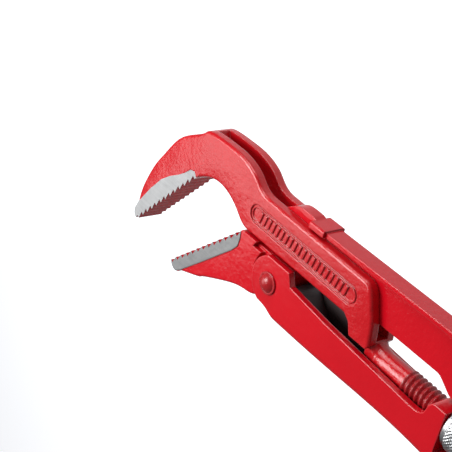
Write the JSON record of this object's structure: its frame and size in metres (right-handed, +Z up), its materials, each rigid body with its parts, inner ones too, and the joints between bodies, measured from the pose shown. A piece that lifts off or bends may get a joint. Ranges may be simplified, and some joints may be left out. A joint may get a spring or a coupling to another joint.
{
  "type": "pipe wrench",
  "caption": "Swedish-pattern pipe wrench: S-shaped 45 degree jaws, a hook jaw set by a knurled nut on its spindle, and two long forged legs on one rivet.",
  "frame": {"origin": "bottom centre of the box around the whole tool as it lies flat, jaws and handles level", "axes": "+X along the tool, from the jaws to the ends of the handles; +Y across, from the lower leg to the upper leg; +Z up, out of the flank with the front rivet washer"},
  "size_m": [0.5484, 0.1082, 0.0307],
  "materials": {
    "red_paint_upper": "glossy red paint over a forging, jaw flanks and teeth ground bare",
    "red_paint_lower": "glossy red paint over a forging",
    "red_paint_hook": "glossy red paint over a forging, jaw flanks ground bare",
    "red_paint_rivet": "glossy red paint over steel",
    "zinc_nut": "knurled, zinc plated",
    "black_spring_steel": "black oxide",
    "bright_steel": "bright steel"
  },
  "bodies": {
    "upper_leg": {"upper_leg": "red_paint_upper"},
    "lower_leg": {"lower_leg": "red_paint_lower", "pivot_rivet": "red_paint_rivet", "rivet_washer_front": "red_paint_rivet", "rivet_washer_rear": "red_paint_rivet", "leaf_spring": "black_spring_steel", "leaf_spring_rivet": "black_spring_steel"},
    "hook_jaw": {"hook_jaw": "red_paint_hook", "spindle_stop_pin": "bright_steel"},
    "adjusting_nut": {"adjusting_nut": "zinc_nut"}
  },
  "joints": [
    {"name": "handle_squeeze", "type": "hinge", "parent": "upper_leg", "child": "lower_leg", "pos_m": [-0.12977, -0.0037, 0.01535], "axis": [0, 0, 1], "range_deg": [-4, 1.2]},
    {"name": "nut_spin", "type": "hinge", "parent": "lower_leg", "child": "adjusting_nut", "pos_m": [0.02473, -0.0005, 0.01535], "axis": [1, 0, 0], "range_deg": [-3438.8, 4728.4]},
    {"name": "jaw_slide", "type": "slide", "parent": "lower_leg", "child": "hook_jaw", "axis": [1, 0, 0], "range_m": [-0.044, 0.032]}
  ],
  "couplings": [
    {"joint": "jaw_slide", "follows": "nut_spin", "m_per_rad": -0.00053317}
  ]
}
